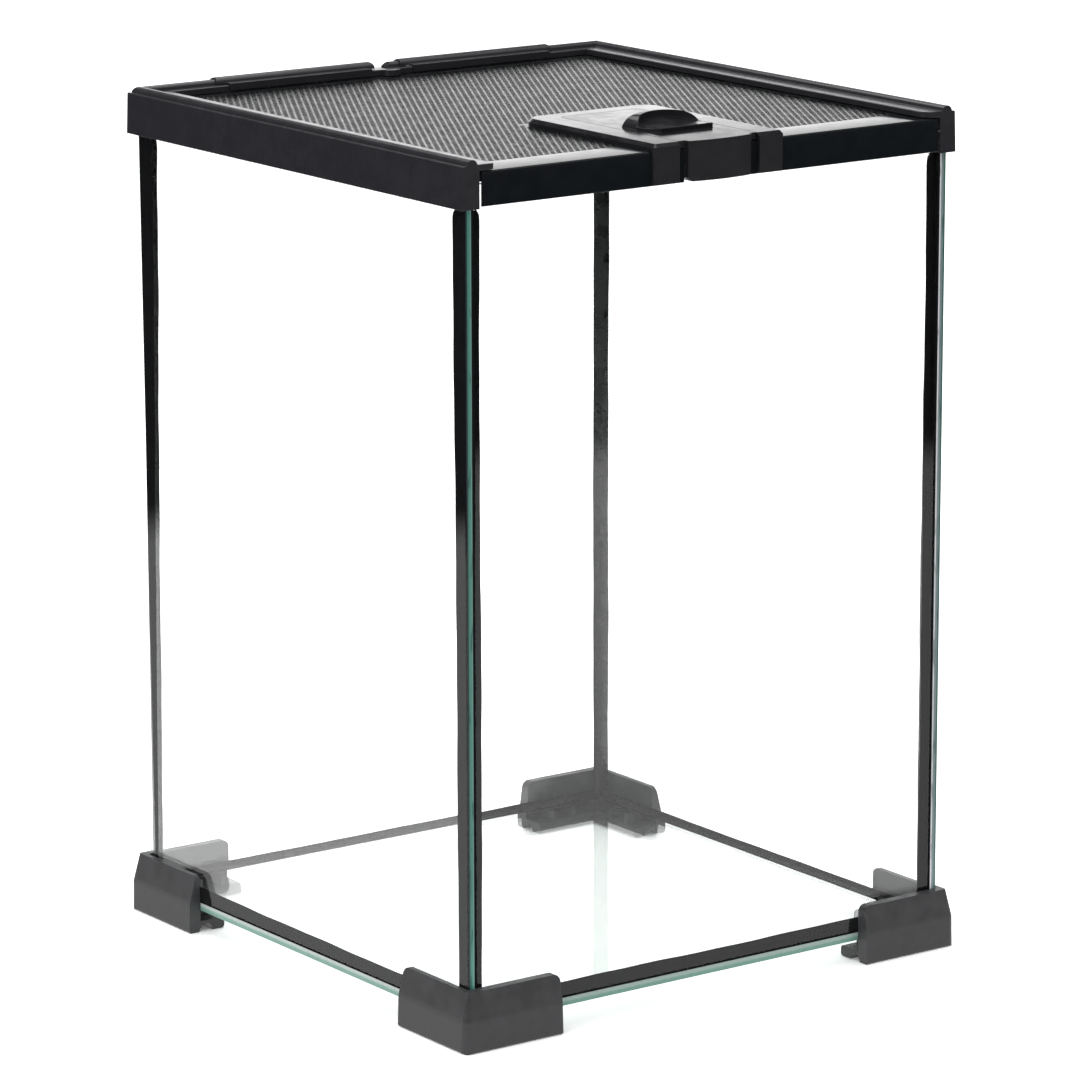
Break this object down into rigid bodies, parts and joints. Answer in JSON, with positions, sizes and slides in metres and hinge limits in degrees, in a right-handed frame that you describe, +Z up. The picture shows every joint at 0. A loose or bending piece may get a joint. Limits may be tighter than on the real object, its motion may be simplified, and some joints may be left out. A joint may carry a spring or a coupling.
{
  "type": "reptile terrarium",
  "caption": "Tall glass terrarium on corner feet, with a moulded top frame, sliding cable-port covers, and a perforated sheet lid that slides out and carries a thumb latch.",
  "frame": {"origin": "Bottom centre of the overall box, on the surface that the feet stand on.", "axes": "X to the right along the front, Y towards the back, Z up. The latch side is at -Y."},
  "size_m": [0.2112, 0.211, 0.3024],
  "materials": {
    "glass": "clear float glass with green cut edges",
    "silicone": "cured black silicone, slightly glossy",
    "feet": "matte moulded charcoal plastic",
    "frame": "satin moulded black plastic",
    "covers": "satin moulded black plastic",
    "sheet": "smooth black coating on perforated sheet",
    "latch": "semi-gloss moulded black plastic",
    "backing": "satin moulded black plastic",
    "screws": "plain steel"
  },
  "bodies": {
    "tank": {"glass_base": "glass", "glass_left": "glass", "glass_right": "glass", "glass_front": "glass", "glass_rear": "glass", "seal_base": "silicone", "seal_front_left": "silicone", "seal_front_right": "silicone", "seal_rear_left": "silicone", "seal_rear_right": "silicone", "foot_front_left": "feet", "foot_front_right": "feet", "foot_rear_left": "feet", "foot_rear_right": "feet", "rail_left": "frame", "rail_right": "frame", "rail_rear": "frame"},
    "cover_left": {"cable_cap_left": "covers"},
    "cover_right": {"cable_cap_right": "covers"},
    "lid": {"lid_sheet": "sheet", "latch_housing": "latch", "latch_backing_plate": "backing", "latch_screw_front_left": "screws", "latch_screw_front_right": "screws", "latch_screw_rear_left": "screws", "latch_screw_rear_right": "screws"},
    "latch": {"latch_slider": "latch"}
  },
  "joints": [
    {"name": "lid_slide", "type": "slide", "parent": "tank", "child": "lid", "axis": [0, -1, 0], "range_m": [0, 0.185]},
    {"name": "latch_slide", "type": "slide", "parent": "lid", "child": "latch", "axis": [0, -1, 0], "range_m": [0, 0.007]},
    {"name": "cover_left_slide", "type": "slide", "parent": "tank", "child": "cover_left", "axis": [-1, 0, 0], "range_m": [0, 0.024]},
    {"name": "cover_right_slide", "type": "slide", "parent": "tank", "child": "cover_right", "axis": [1, 0, 0], "range_m": [-0.0055, 0.0165]}
  ]
}
